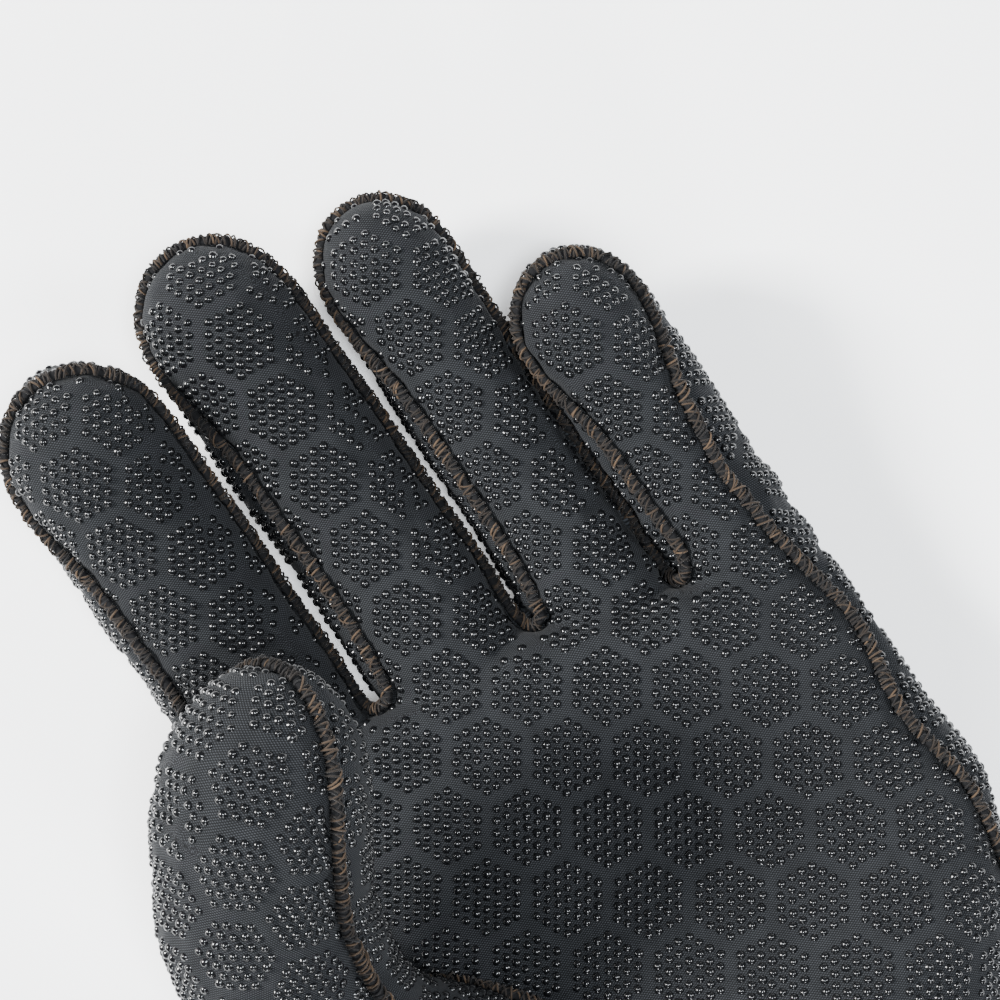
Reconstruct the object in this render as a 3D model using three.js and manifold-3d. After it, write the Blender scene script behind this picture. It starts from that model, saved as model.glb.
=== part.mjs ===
// A left-hand grip glove of soft foam rubber faced with knitted nylon, lying on its back with the palm up.
// It is cut as two panels, palm and back, that meet in a seam round every finger, and the thumb is set in
// as a tube of two panels of its own. All four panels are hollow shells that stay open at the cuff.
// Millimetres, +Z up. The fingers point to +Y, the thumb is on the -X side and the cuff's mouth faces -Y.
import * as THREE from "three";
import { mergeVertices } from "three/addons/utils/BufferGeometryUtils.js";
import Module from "manifold-3d";

const wasm = await Module();
wasm.setup();

// Driving dimensions
const wall = 3; // thickness of the foam rubber with its nylon faces
const seamGap = 0.3; // clearance left between two panels where they are sewn
const handWidth = 106.4; // across the palm and the four fingers side by side
const fingerLength = 82.5; // the middle finger, from its crotches to its tip
const palmLength = 106; // from the wrist to the crotch between the middle and ring fingers
const cuffLength = 66; // from the wrist to the mouth
const palmSpare = 0.3; // how far the palm reaches past the outer fingers on either side
const palmThickness = 25.5; // over the knuckles, from the back to the palm face
const palmHeel = 14; // how much thicker the palm is at its heel
const palmDish = 4; // how deep the middle of the palm is dished
const wristWidth = 74;
const wristThickness = 42;
const cuffMouthWidth = 86;
const cuffMouthThickness = 50;
const webRounding = 7; // length over which the palm rounds off between two fingers
const rootDepth = 16; // how far a finger's tube starts below its crotch
const sag = 0.8; // how far the underside would reach below the floor if it did not flatten there

// Fingers from the thumb side on. width, gap (the space to the next finger) and lean (how far the tip goes
// sideways) are shares of the fingers' room, and depth is a share of the width. reach (from the crotch line to the
// tip), web (where the crotch on the finger's far side lies) and raise (how far the tip curls up) are shares of
// fingerLength. entry and run are the far-side seam's angles from the palm ridge, at the crotch and beyond.
const fingerRows = [
  { width: 0.2665, depth: 0.887, gap: 0.0265, reach: 0.9212, web: 0.0303, raise: 0.2667, lean: 0.0113, entry: 62, run: 86 },
  { width: 0.2514, depth: 0.94, gap: 0.0132, reach: 1, web: 0, raise: 0.1455, lean: -0.0019, entry: 62, run: 86 },
  { width: 0.2136, depth: 1.018, gap: 0.0113, reach: 0.8848, web: -0.1042, raise: 0.1091, lean: 0.0132, entry: 62, run: 86 },
  { width: 0.2174, depth: 0.957, gap: 0, reach: 0.5758, web: -0.1697, raise: 0.1697, lean: -0.0076, entry: 44, run: 37 },
];
const fingersRoom = handWidth - 2 * palmSpare;
const fingers = fingerRows.map((row) => ({
  width: row.width * fingersRoom,
  gap: row.gap * fingersRoom,
  lean: row.lean * fingersRoom,
  depth: row.depth * row.width * fingersRoom,
  reach: row.reach * fingerLength,
  web: row.web * fingerLength,
  raise: row.raise * fingerLength,
  seamEntry: row.entry,
  seamFar: row.run,
}));
const nearSeam = { entry: -62, run: -48 }; // angles of every finger's near-side seam, at the crotch and beyond
const tipSeam = 84; // both seams' angle where they round the fingertip
const fingerDome = 0.58; // length of a fingertip's rounding, as a share of the finger's width

// How a digit's girth changes along its straight part: padded between the joints and drawn in over them.
const girthRows = [
  { along: 0.0, girth: 0.7 },
  { along: 0.1, girth: 0.92 },
  { along: 0.2, girth: 1.0 },
  { along: 0.36, girth: 1.02 },
  { along: 0.52, girth: 0.985 },
  { along: 0.68, girth: 1.01 },
  { along: 0.84, girth: 0.985 },
  { along: 1.0, girth: 1.0 },
];
const domeAngles = [18, 36, 52, 66, 78]; // degrees round a fingertip, before its pole

// The thumb stands up over the palm. Its axis runs through these points: x is a share of handWidth, y of
// palmLength from the crotch line, and z of thumbRise. Its girth is taken at the knuckle, with shares at each row.
const thumbRise = 71; // from the floor to the middle of the thumb's tip
const thumb = { width: 33.5, depth: 30, dome: 24, seam: 48 };
const thumbAxis = [
  { x: -0.2068, y: -0.8491, z: 0.2254 },
  { x: -0.3947, y: -0.6321, z: 0.3944 },
  { x: -0.5216, y: -0.3868, z: 0.6056 },
  { x: -0.4793, y: -0.1132, z: 0.831 },
  { x: -0.3994, y: 0, z: 0.9155 },
  { x: -0.2585, y: 0.1585, z: 1 },
];
const thumbRows = [
  { along: 0.0, girth: 0.95 },
  { along: 0.13, girth: 1.2 },
  { along: 0.28, girth: 1.27 },
  { along: 0.44, girth: 1.17 },
  { along: 0.58, girth: 1.03 },
  { along: 0.72, girth: 0.97 },
  { along: 0.86, girth: 0.98 },
  { along: 1.0, girth: 0.99 },
];

// The hand from the cuff's mouth to the knuckles. along is the share of the cuff (from -1 at the mouth to 0 at
// the wrist) or of the palm (0 to 1). wide and thick blend from the wrist (0) to the mouth or the knuckles (1),
// heel adds palmHeel, dish takes palmDish out of the palm's middle, and shift is the share of sideShift that the
// row moves towards the little finger. nearSeam and farSeam are the seam's angles on the thumb side and on the
// little finger's side.
const sideShift = 4;
const handRows = [
  { along: -1.0, wide: 1.0, thick: 1.0, heel: 0, dish: 0, shift: -1, nearSeam: -86, farSeam: 86 },
  { along: -0.68, wide: 0.66, thick: 0.6, heel: 0, dish: 0, shift: -1, nearSeam: -86, farSeam: 86 },
  { along: -0.32, wide: 0.2, thick: 0.16, heel: 0, dish: 0, shift: -1, nearSeam: -86, farSeam: 86 },
  { along: 0.0, wide: 0.0, thick: 0.0, heel: 0, dish: 0, shift: -1, nearSeam: -84, farSeam: 84 },
  { along: 0.12, wide: 0.17, thick: 0.3, heel: 0.45, dish: 0, shift: -0.6, nearSeam: -82, farSeam: 80 },
  { along: 0.26, wide: 0.62, thick: 0.7, heel: 0.9, dish: 0.3, shift: 0.3, nearSeam: -80, farSeam: 76 },
  { along: 0.42, wide: 0.94, thick: 0.95, heel: 0.85, dish: 0.9, shift: 0.5, nearSeam: -76, farSeam: 70 },
  { along: 0.58, wide: 0.98, thick: 1.0, heel: 0.55, dish: 1.0, shift: 0.1, nearSeam: -72, farSeam: 62 },
  { along: 0.74, wide: 1.0, thick: 1.0, heel: 0.26, dish: 0.7, shift: 0, nearSeam: -66, farSeam: 54 },
  { along: 0.87, wide: 1.0, thick: 1.0, heel: 0.06, dish: 0.25, shift: 0, nearSeam: -62, farSeam: 48 },
];
const webAngles = [0, 25, 50, 70]; // degrees round the palm's end between the fingers
const handSquareness = { cuff: 2.1, palm: 2.7 }; // 2 is an ellipse, more is boxier

// How many points a ring has
const digitSides = 16;
const handSides = 36;

const radians = THREE.MathUtils.degToRad;
const mix = THREE.MathUtils.lerp;

// Where each finger stands: the fingers are set side by side across the palm, its middle at x = 0.
let edge = -fingersRoom / 2;
for (const finger of fingers) {
  finger.x = edge + finger.width / 2;
  edge += finger.width + finger.gap;
}

// The crotch line across the knuckles, as a share-free y for any x.
const webKnots = [
  { x: -handWidth / 2, y: fingers[0].web },
  ...fingers.slice(0, -1).map((finger) => ({ x: finger.x + (finger.width + finger.gap) / 2, y: finger.web })),
  { x: handWidth / 2, y: fingers.at(-1).web },
];
function webLine(x) {
  const after = webKnots.findIndex((knot) => knot.x > x);
  if (after === 0) return webKnots[0].y;
  if (after < 0) return webKnots.at(-1).y;
  const [from, to] = [webKnots[after - 1], webKnots[after]];
  return mix(from.y, to.y, (x - from.x) / (to.x - from.x));
}

// Reads a column of a table of rows at any place along it.
function readColumn(rows, along, column) {
  const after = Math.max(
    1,
    rows.findIndex((row) => row.along >= along),
  );
  const [from, to] = [rows[after - 1], rows[after]];
  const share = THREE.MathUtils.clamp((along - from.along) / (to.along - from.along), 0, 1);
  return mix(from[column], to[column], THREE.MathUtils.smoothstep(share, 0, 1));
}

// One point of a section: angle is measured from the palm ridge towards +side, and the section is a superellipse.
// Where it would reach below the floor it lies flat on it, one wall higher for the hollow.
function sectionPoint(section, angle, inset) {
  const power = 2 / section.squareness;
  const bulge = (value) => Math.sign(value) * Math.abs(value) ** power;
  const across = (section.halfWidth - inset * section.thin) * bulge(Math.sin(angle));
  const upwards = (section.halfDepth - inset * section.thin) * bulge(Math.cos(angle));
  const point = section.centre.clone().addScaledVector(section.side, across).addScaledVector(section.up, upwards);
  if (section.skew) point.y += section.skew * webLine(point.x);
  if (section.dish && Math.cos(angle) > 0) point.z -= section.dish * Math.cos(angle) ** 2;
  point.z = Math.max(point.z, inset);
  return point;
}

function sectionRing(section, sides, inset) {
  const start = radians(section.seam ?? 0);
  return Array.from({ length: sides }, (_, i) => sectionPoint(section, start + (i / sides) * 2 * Math.PI, inset));
}

// A closed solid skinned over rings that all have the same number of points, each end closed on its middle.
function skinned(rings, startPole, endPole) {
  const sides = rings[0].length;
  const points = [...rings.flat(), startPole, endPole];
  const [start, end] = [points.length - 2, points.length - 1];
  const faces = [];
  for (let r = 0; r < rings.length - 1; r++) {
    for (let i = 0; i < sides; i++) {
      const next = (i + 1) % sides;
      const [a, b, c, d] = [r * sides + i, r * sides + next, (r + 1) * sides + next, (r + 1) * sides + i];
      faces.push(a, c, b, a, d, c);
    }
  }
  const last = (rings.length - 1) * sides;
  for (let i = 0; i < sides; i++) {
    const next = (i + 1) % sides;
    faces.push(start, i, next, end, last + next, last + i);
  }
  return solidFrom(points, faces);
}

function solidFrom(points, faces) {
  const loose = new THREE.BufferGeometry().setFromPoints(points).setIndex(faces);
  const merged = mergeVertices(loose, 1e-4);
  const triVerts = new Uint32Array(merged.index.array);
  const vertProperties = merged.attributes.position.array;
  const solid = new wasm.Manifold(new wasm.Mesh({ numProp: 3, vertProperties, triVerts }));
  return solid.volume() < 0 ? solidFrom(points, flipped(faces)) : solid;
}

function flipped(faces) {
  return faces.map((_, i) => faces[i - (i % 3) + [0, 2, 1][i % 3]]);
}

function ringMiddle(ring) {
  return ring.reduce((sum, point) => sum.add(point), new THREE.Vector3()).divideScalar(ring.length);
}

// The sections of a digit along its axis: straight rows first, then the dome of the tip.
function digitSections(digit) {
  const length = digit.axis.getLength();
  const straight = length - digit.dome;
  const sectionAt = (distance, scale, girth, thin) => {
    const share = THREE.MathUtils.clamp(distance / length, 0, 1);
    const ahead = digit.axis.getTangentAt(share);
    const side = digit.side(share, ahead);
    const up = new THREE.Vector3().crossVectors(side, ahead).normalize();
    return {
      along: distance / straight,
      centre: digit.axis.getPointAt(share),
      side,
      up,
      ahead,
      halfWidth: (digit.width / 2) * girth * scale,
      halfDepth: (digit.depth / 2) * girth * scale,
      squareness: 2,
      thin,
      seam: digit.seam,
    };
  };
  const rows = digit.rows.map((row) => sectionAt(row.along * straight, 1, row.girth, 1));
  const lastGirth = digit.rows.at(-1).girth;
  const dome = (inset) =>
    domeAngles.map((degrees) => {
      const angle = radians(degrees);
      const distance = straight + (digit.dome - inset) * Math.sin(angle);
      return sectionAt(distance, Math.cos(angle), lastGirth, Math.cos(angle));
    });
  const end = digit.axis.getPointAt(1);
  const tip = (inset) => end.clone().addScaledVector(digit.axis.getTangentAt(1), -inset);
  return { rows, dome, tip };
}

// A digit's body, drawn in by inset: 0 is its outside, wall its hollow. The hollow starts a little lower.
function digitBody(digit, inset) {
  const { rows, dome, tip } = digitSections(digit);
  const rings = [...rows, ...dome(inset)].map((section) => sectionRing(section, digitSides, inset));
  return skinned(rings, ringMiddle(rings[0]), tip(inset));
}

for (const finger of fingers) {
  const root = new THREE.Vector3(finger.x, finger.web - rootDepth, finger.depth / 2 - sag / 2);
  const tip = new THREE.Vector3(finger.x + finger.lean, finger.reach, root.z + finger.raise);
  const middle = new THREE.Vector3(finger.x + finger.lean * 0.4, mix(root.y, tip.y, 0.5), root.z);
  finger.axis = new THREE.QuadraticBezierCurve3(root, middle, tip);
  finger.side = () => new THREE.Vector3(1, 0, 0);
  finger.dome = finger.width * fingerDome;
  finger.rows = girthRows;
}

function thumbPoint(row) {
  return new THREE.Vector3(row.x * handWidth, row.y * palmLength, row.z * thumbRise);
}

// The thumb's side vector stays level, so that its sections do not twist.
thumb.axis = new THREE.CatmullRomCurve3(thumbAxis.map(thumbPoint));
thumb.side = (share, ahead) => new THREE.Vector3(ahead.y, -ahead.x, 0).normalize();
thumb.rows = thumbRows;

// The hand without its digits: cuff, wrist and palm, rounded off at the crotch line.
function handSection(row, inset) {
  const onCuff = row.along <= 0;
  const width = mix(wristWidth, onCuff ? cuffMouthWidth : handWidth, row.wide);
  const thickness = mix(wristThickness, onCuff ? cuffMouthThickness : palmThickness, row.thick) + row.heel * palmHeel;
  const halfDepth = (thickness + sag) / 2;
  return {
    centre: new THREE.Vector3(row.shift * sideShift, row.y, halfDepth - sag),
    side: new THREE.Vector3(1, 0, 0),
    up: new THREE.Vector3(0, 0, 1),
    halfWidth: width / 2,
    halfDepth,
    squareness: onCuff ? handSquareness.cuff : mix(handSquareness.cuff, handSquareness.palm, row.wide),
    thin: 1,
    dish: row.dish * palmDish,
    skew: THREE.MathUtils.smoothstep(row.along, 0.45, 0.9),
  };
}

function handBody(inset) {
  const rows = handRows.map((row) => ({ ...row, y: row.along * (row.along < 0 ? cuffLength : palmLength) - palmLength }));
  const straightRings = rows.map((row) => sectionRing(handSection(row, inset), handSides, inset));
  const lastRow = { ...rows.at(-1), heel: 0, dish: 0 };
  const webRings = webAngles.map((degrees) => {
    const angle = radians(degrees);
    const section = handSection({ ...lastRow, y: -webRounding + (webRounding - inset) * Math.sin(angle) }, inset);
    section.halfDepth *= Math.cos(angle);
    section.halfWidth -= (1 - Math.cos(angle)) * webRounding;
    section.thin = Math.cos(angle);
    return sectionRing(section, handSides, inset);
  });
  const rings = [...straightRings, ...webRings];
  if (inset > 0) rings.unshift(rings[0].map((p) => p.clone().setY(p.y - 2 * wall)));
  return skinned(rings, ringMiddle(rings[0]), ringMiddle(rings.at(-1)));
}

function union(solids) {
  return solids.reduce((sum, solid) => sum.add(solid));
}

// The parting surface that the seams lie in, as rows of points from the thumb side to the little finger's side.
// Each row runs through the seam points of the fingers and steps from one to the next in the gaps between them.
const levelStep = 7; // between two rows of it along the fingers

const lowestRoot = Math.min(...fingers.map((finger) => finger.web)) - rootDepth;
const longestReach = Math.max(...fingers.map((finger) => finger.reach)) + 2 * wall;
const levelCount = Math.ceil((longestReach - lowestRoot) / levelStep);
const fingerLevels = Array.from({ length: levelCount + 1 }, (_, i) => lowestRoot + i * levelStep);

function seamPoint(section, degrees) {
  return sectionPoint(section, radians(degrees), 0);
}

// Where a finger's two seams are at a given y. On the fingertip's dome they keep to the straight part's width.
function fingerSeams(finger, y) {
  const length = finger.axis.getLength();
  const straight = length - finger.dome;
  let [low, high] = [0, 1];
  while (high - low > 1e-5) {
    const half = (low + high) / 2;
    if (finger.axis.getPointAt(half).y < y) low = half;
    else high = half;
  }
  const along = (low * length) / straight;
  const girth = readColumn(girthRows, Math.min(along, 1), "girth");
  const section = {
    centre: finger.axis.getPointAt(low).setY(y),
    side: new THREE.Vector3(1, 0, 0),
    up: new THREE.Vector3(0, 0, 1),
    halfWidth: (finger.width / 2) * girth,
    halfDepth: (finger.depth / 2) * girth,
    squareness: 2,
    thin: 1,
  };
  const onTip = THREE.MathUtils.clamp((along - 0.75) / 0.3, 0, 1);
  const onRoot = 1 - THREE.MathUtils.clamp(along / 0.34, 0, 1);
  const near = mix(mix(nearSeam.run, nearSeam.entry, onRoot), -tipSeam, onTip);
  const far = mix(mix(finger.seamFar, finger.seamEntry, onRoot), tipSeam, onTip);
  return [seamPoint(section, near), seamPoint(section, far)];
}

function partingRows() {
  const levelRows = fingerLevels.map((y) => {
    const pairs = fingers.map((finger) => fingerSeams(finger, y));
    const row = [];
    pairs.forEach(([near, far], i) => {
      row.push(near, far);
      if (i < pairs.length - 1) {
        const next = pairs[i + 1][0];
        row.push(new THREE.Vector3((far.x + next.x) / 2, y, next.z));
      }
    });
    return row;
  });
  const palmRows = handRows.map((row) => {
    const y = row.along * (row.along < 0 ? cuffLength : palmLength) - palmLength;
    const section = handSection({ ...row, y }, 0);
    const [near, far] = [seamPoint(section, row.nearSeam), seamPoint(section, row.farSeam)];
    return levelRows[0].map((knot, i, knots) => {
      const share = (knot.x - knots[0].x) / (knots.at(-1).x - knots[0].x);
      return near.clone().lerp(far, share).setY(y);
    });
  });
  const mouth = palmRows[0].map((point) => point.clone().setY(point.y - 4 * wall));
  const clearRows = palmRows.filter((row) => row[0].y < fingerLevels[0] - wall);
  return [mouth, ...clearRows, ...levelRows].map((row) => [
    row[0].clone().setX(-handWidth),
    ...row,
    row.at(-1).clone().setX(handWidth),
  ]);
}

// Moves a point of the surface half the gap up or down, and half of it sideways where it steps up in a crotch.
function stepShift(row, column, half) {
  const inStep = row[0].y < 2 * webRounding && column % 3 !== 1 && column > 1 && column < row.length - 2;
  const low = column - (column % 3 === 0 ? 1 : 0);
  const rise = inStep ? THREE.MathUtils.clamp((row[low + 1].z - row[low].z) / wall, -1, 1) : 0;
  return new THREE.Vector3(-half * rise, 0, half);
}

// All that lies above the parting surface (towards = 1) or below it (towards = -1), half a seam gap away from it.
function sideOfParting(towards) {
  const rows = partingRows();
  const columns = rows[0].length;
  const half = (towards * seamGap) / 2;
  const near = rows.flatMap((row) => row.map((p, column) => stepShift(row, column, half).add(p)));
  const far = rows.flat().map((p) => p.clone().setZ(towards * handWidth));
  const points = [...near, ...far];
  const faces = [];
  const at = (layer, r, c) => layer * near.length + r * columns + c;
  const quad = (a, b, c, d) => faces.push(a, b, c, a, c, d);
  for (let r = 0; r < rows.length - 1; r++) {
    for (let c = 0; c < columns - 1; c++) {
      quad(at(0, r, c), at(0, r + 1, c), at(0, r + 1, c + 1), at(0, r, c + 1));
      quad(at(1, r, c), at(1, r, c + 1), at(1, r + 1, c + 1), at(1, r + 1, c));
    }
    quad(at(0, r, 0), at(1, r, 0), at(1, r + 1, 0), at(0, r + 1, 0));
    quad(at(0, r + 1, columns - 1), at(1, r + 1, columns - 1), at(1, r, columns - 1), at(0, r, columns - 1));
  }
  for (let c = 0; c < columns - 1; c++) {
    const last = rows.length - 1;
    quad(at(0, 0, c + 1), at(1, 0, c + 1), at(1, 0, c), at(0, 0, c));
    quad(at(0, last, c), at(1, last, c), at(1, last, c + 1), at(0, last, c + 1));
  }
  return solidFrom(points, faces);
}

// Half of the space round the thumb's axis. It starts at the thumb's two seams, half a seam gap away from them.
function halfOfThumb(towards) {
  const { rows, dome } = digitSections(thumb);
  const reach = thumb.width * 1.1;
  const rings = [...rows, ...dome(0)].map((section) => {
    const across = sectionPoint(section, radians(thumb.seam), 0).sub(section.centre);
    const radius = across.length();
    across.normalize();
    const outwards = across.clone().cross(section.ahead).normalize().multiplyScalar(towards);
    const at = (a, o) => section.centre.clone().addScaledVector(across, a).addScaledVector(outwards, o);
    const seamSide = [-reach, -radius, radius, reach].map((a) => at(a, seamGap / 2));
    return [...seamSide, at(reach, reach), at(-reach, reach)];
  });
  const ahead = thumb.axis.getTangentAt(1).multiplyScalar(thumb.dome);
  rings.push(rings.at(-1).map((p) => p.clone().add(ahead)));
  return skinned(rings, ringMiddle(rings[0]), ringMiddle(rings.at(-1)));
}

const handOutside = union([handBody(0), ...fingers.map((finger) => digitBody(finger, 0))]);
const handHollow = union([handBody(wall), ...fingers.map((finger) => digitBody(finger, wall))]);
const handClearance = union([handBody(-seamGap), ...fingers.map((finger) => digitBody(finger, -seamGap))]);
const thumbOutside = digitBody(thumb, 0);
const thumbHollow = digitBody(thumb, wall);

const handShell = handOutside.subtract(handHollow).subtract(thumbHollow);
const thumbShell = thumbOutside.subtract(thumbHollow).subtract(handClearance);

function largestPiece(solid) {
  return solid.decompose().sort((a, b) => b.volume() - a.volume())[0];
}

function panel(name, solid, color) {
  const { vertProperties, triVerts } = largestPiece(solid).getMesh();
  const geometry = new THREE.BufferGeometry();
  geometry.setAttribute("position", new THREE.BufferAttribute(vertProperties, 3));
  geometry.setIndex(new THREE.BufferAttribute(triVerts, 1));
  const faceted = geometry.toNonIndexed();
  faceted.computeVertexNormals();
  const material = new THREE.MeshStandardMaterial({ color, roughness: 0.85, metalness: 0 });
  const mesh = new THREE.Mesh(faceted, material);
  mesh.name = name;
  return mesh;
}

const glove = new THREE.Group();
glove.add(
  panel("palm_panel", handShell.intersect(sideOfParting(1)), 0x2f3336),
  panel("back_panel", handShell.intersect(sideOfParting(-1)), 0x2b2f32),
  panel("thumb_outer_panel", thumbShell.intersect(halfOfThumb(1)), 0x363b3f),
  panel("thumb_inner_panel", thumbShell.intersect(halfOfThumb(-1)), 0x2f3336),
);

// The origin is on the floor, under the middle of the glove.
const extent = new THREE.Box3().setFromObject(glove);
const middle = extent.getCenter(new THREE.Vector3());
glove.position.set(-middle.x, -middle.y, -extent.min.z);

export default glove;
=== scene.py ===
import math

import bmesh
import bpy
import numpy as np
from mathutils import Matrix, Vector, noise
from mathutils.bvhtree import BVHTree
from mathutils.kdtree import KDTree


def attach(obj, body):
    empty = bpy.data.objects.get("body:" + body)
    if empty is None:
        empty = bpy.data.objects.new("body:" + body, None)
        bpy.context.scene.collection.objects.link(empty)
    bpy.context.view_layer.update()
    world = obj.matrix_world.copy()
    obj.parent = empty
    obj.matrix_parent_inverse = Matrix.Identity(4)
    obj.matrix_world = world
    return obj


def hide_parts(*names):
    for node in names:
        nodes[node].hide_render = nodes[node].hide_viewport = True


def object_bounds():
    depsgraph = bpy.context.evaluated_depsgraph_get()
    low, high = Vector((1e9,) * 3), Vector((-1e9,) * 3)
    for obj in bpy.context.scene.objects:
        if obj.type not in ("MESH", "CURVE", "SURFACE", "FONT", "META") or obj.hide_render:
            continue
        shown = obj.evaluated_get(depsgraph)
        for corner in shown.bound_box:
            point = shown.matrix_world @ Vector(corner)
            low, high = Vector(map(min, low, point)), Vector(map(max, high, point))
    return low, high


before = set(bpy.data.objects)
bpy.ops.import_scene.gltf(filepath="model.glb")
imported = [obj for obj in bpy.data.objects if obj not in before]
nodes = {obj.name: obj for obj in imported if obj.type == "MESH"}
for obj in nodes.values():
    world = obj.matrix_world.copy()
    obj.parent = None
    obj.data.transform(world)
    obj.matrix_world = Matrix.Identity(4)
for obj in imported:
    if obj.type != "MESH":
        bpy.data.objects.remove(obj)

cad_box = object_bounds()

# Camera, floor and light.
# The photograph looks straight at the palm, with the fingers leaning 34 degrees to the left. A pale floor lies just
# under the dots of the back, a strong soft light stands at the upper left and three weaker ones round the glove.
camera_data = bpy.data.cameras.new("camera")
camera_data.lens = 106
camera_data.sensor_width = 36
camera_data.clip_start = 0.01
camera = bpy.data.objects.new("camera", camera_data)
camera.location = (0.02215, 0.0634, 0.503)
camera.rotation_euler = (0, 0, math.radians(-34))
bpy.context.scene.collection.objects.link(camera)
bpy.context.scene.camera = camera

bpy.ops.mesh.primitive_plane_add(size=6, location=(0, 0, -0.0006))
floor = bpy.context.object
floor.name = "floor"
floor_look = bpy.data.materials.new("floor")
floor_look.use_nodes = True
shader = floor_look.node_tree.nodes["Principled BSDF"]
shader.inputs["Base Color"].default_value = (0.97, 0.97, 0.97, 1)
shader.inputs["Roughness"].default_value = 0.9
shader.inputs["Emission Color"].default_value = (1, 1, 1, 1)
shader.inputs["Emission Strength"].default_value = 0.35
floor.data.materials.append(floor_look)

world = bpy.data.worlds.new("world")
bpy.context.scene.world = world
world.use_nodes = True
world.node_tree.nodes["Background"].inputs["Color"].default_value = (0.93, 0.96, 1.0, 1)
world.node_tree.nodes["Background"].inputs["Strength"].default_value = 0.28

def softbox(name, place, aim, size, power, colour):
    """A rectangular soft light at a place, turned to what it lights."""
    data = bpy.data.lights.new(name, "AREA")
    data.shape = "RECTANGLE"
    data.size, data.size_y = size
    data.energy = power
    data.color = colour
    lamp = bpy.data.objects.new(name, data)
    lamp.location = place
    lamp.rotation_euler = (Vector(aim) - Vector(place)).to_track_quat("-Z", "Y").to_euler()
    bpy.context.scene.collection.objects.link(lamp)

softbox("key", (-0.75, 0.75, 0.75), (0, 0.02, 0.02), (0.3, 0.3), 62, (1.0, 0.99, 0.97))
softbox("front", (0.12, -0.05, 1.3), (0, 0, 0.02), (0.22, 0.22), 26, (0.9, 0.95, 1.0))
softbox("side", (0.95, -0.35, 0.75), (0, 0, 0.02), (0.3, 0.3), 15, (0.95, 0.97, 1.0))
softbox("low", (-0.5, -0.9, 0.6), (0, 0, 0.02), (0.3, 0.3), 12, (0.95, 0.97, 1.0))


# The cloth that all four panels are cut from.
# Foam rubber 3 mm thick with a nylon knit on both faces, worn into the shape of a hand. Its outer face is one smooth
# skin laid over the four packed panels.
MM = 0.001

def coords(obj):
    """The object's points as an array."""
    co = np.empty(len(obj.data.vertices) * 3)
    obj.data.vertices.foreach_get("co", co)
    return co.reshape(-1, 3)

def put_coords(obj, co):
    """Moves the object's points."""
    obj.data.vertices.foreach_set("co", np.ascontiguousarray(co).ravel())
    obj.data.update()

def vertex_normals(obj):
    """The outward directions at the object's points."""
    normals = np.empty(len(obj.data.vertices) * 3)
    obj.data.vertex_normals.foreach_get("vector", normals)
    return normals.reshape(-1, 3)

def apply_modifier(obj, kind, **settings):
    """Adds a modifier with the settings and applies it."""
    bpy.context.view_layer.objects.active = obj
    modifier = obj.modifiers.new(kind, kind)
    for key, value in settings.items():
        setattr(modifier, key, value)
    bpy.ops.object.modifier_apply(modifier=modifier.name)

def join(objs):
    """Joins the objects into the first of them."""
    bpy.ops.object.select_all(action="DESELECT")
    for obj in objs:
        obj.select_set(True)
    bpy.context.view_layer.objects.active = objs[0]
    bpy.ops.object.join()
    return objs[0]

def widest_shell(obj, mouth):
    """Cuts the object off at the mouth and keeps the connected surface that reaches furthest sideways."""
    bm = bmesh.new()
    bm.from_mesh(obj.data)
    everything = bm.verts[:] + bm.edges[:] + bm.faces[:]
    bmesh.ops.bisect_plane(bm, geom=everything, plane_co=(0, mouth, 0), plane_no=(0, 1, 0), clear_inner=True)
    seen, widest, width = set(), [], 0
    for vert in bm.verts:
        if vert in seen:
            continue
        stack, group = [vert], [vert]
        seen.add(vert)
        while stack:
            for edge in stack.pop().link_edges:
                for other in edge.verts:
                    if other not in seen:
                        seen.add(other)
                        stack.append(other)
                        group.append(other)
        reach = max(v.co.x for v in group) - min(v.co.x for v in group)
        if reach > width:
            widest, width = group, reach
    keep = set(widest)
    bmesh.ops.delete(bm, geom=[v for v in bm.verts if v not in keep], context="VERTS")
    return bm

# The fingers lie close together, so they are spread before the surface is remade and brought back after it. For
# each gap: the middle, the width and the end at the hand, in metres.
crotches = [
    {"x": -0.0141, "gap": 0.0028, "y": 0.0471},
    {"x": 0.01455, "gap": 0.0014, "y": 0.0446},
    {"x": 0.03845, "gap": 0.0012, "y": 0.0360},
]
THUMB_CLEAR = 0.045
SPREAD = 0.0044
SPREAD_START = 0.007
SPREAD_LENGTH = 0.009

def opened(crotch, y):
    """How far the fingers beside a crotch stand apart at y."""
    share = np.clip((y - crotch["y"] + SPREAD_START) / SPREAD_LENGTH, 0, 1)
    return SPREAD * share * share * (3 - 2 * share)

def spread_fingers(co):
    """Moves the fingers apart, below the thumb."""
    out = co.copy()
    low = co[:, 2] < THUMB_CLEAR
    for crotch in crotches:
        share = np.clip((co[:, 0] - crotch["x"]) / crotch["gap"] + 0.5, 0, 1)
        out[:, 0] += np.where(low, opened(crotch, co[:, 1]) * (share - 0.5), 0)
    return out

def close_fingers(co):
    """Undoes spread_fingers: each column between two gaps moved as one, and each gap was stretched evenly."""
    out = co.copy()
    x, y = co[:, 0], co[:, 1]
    openings = [opened(crotch, y) for crotch in crotches]
    moved = -0.5 * sum(openings)
    back = x - moved
    for crotch, opening in zip(crotches, openings):
        start = crotch["x"] - crotch["gap"] / 2
        share = np.clip((x - moved - start) / (crotch["gap"] + opening), 0, 1)
        moved = moved + opening
        back = np.where(share <= 0, back, np.where(share < 1, start + share * crotch["gap"], x - moved))
    out[:, 0] = np.where(co[:, 2] < THUMB_CLEAR, back, x)
    return out

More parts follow.
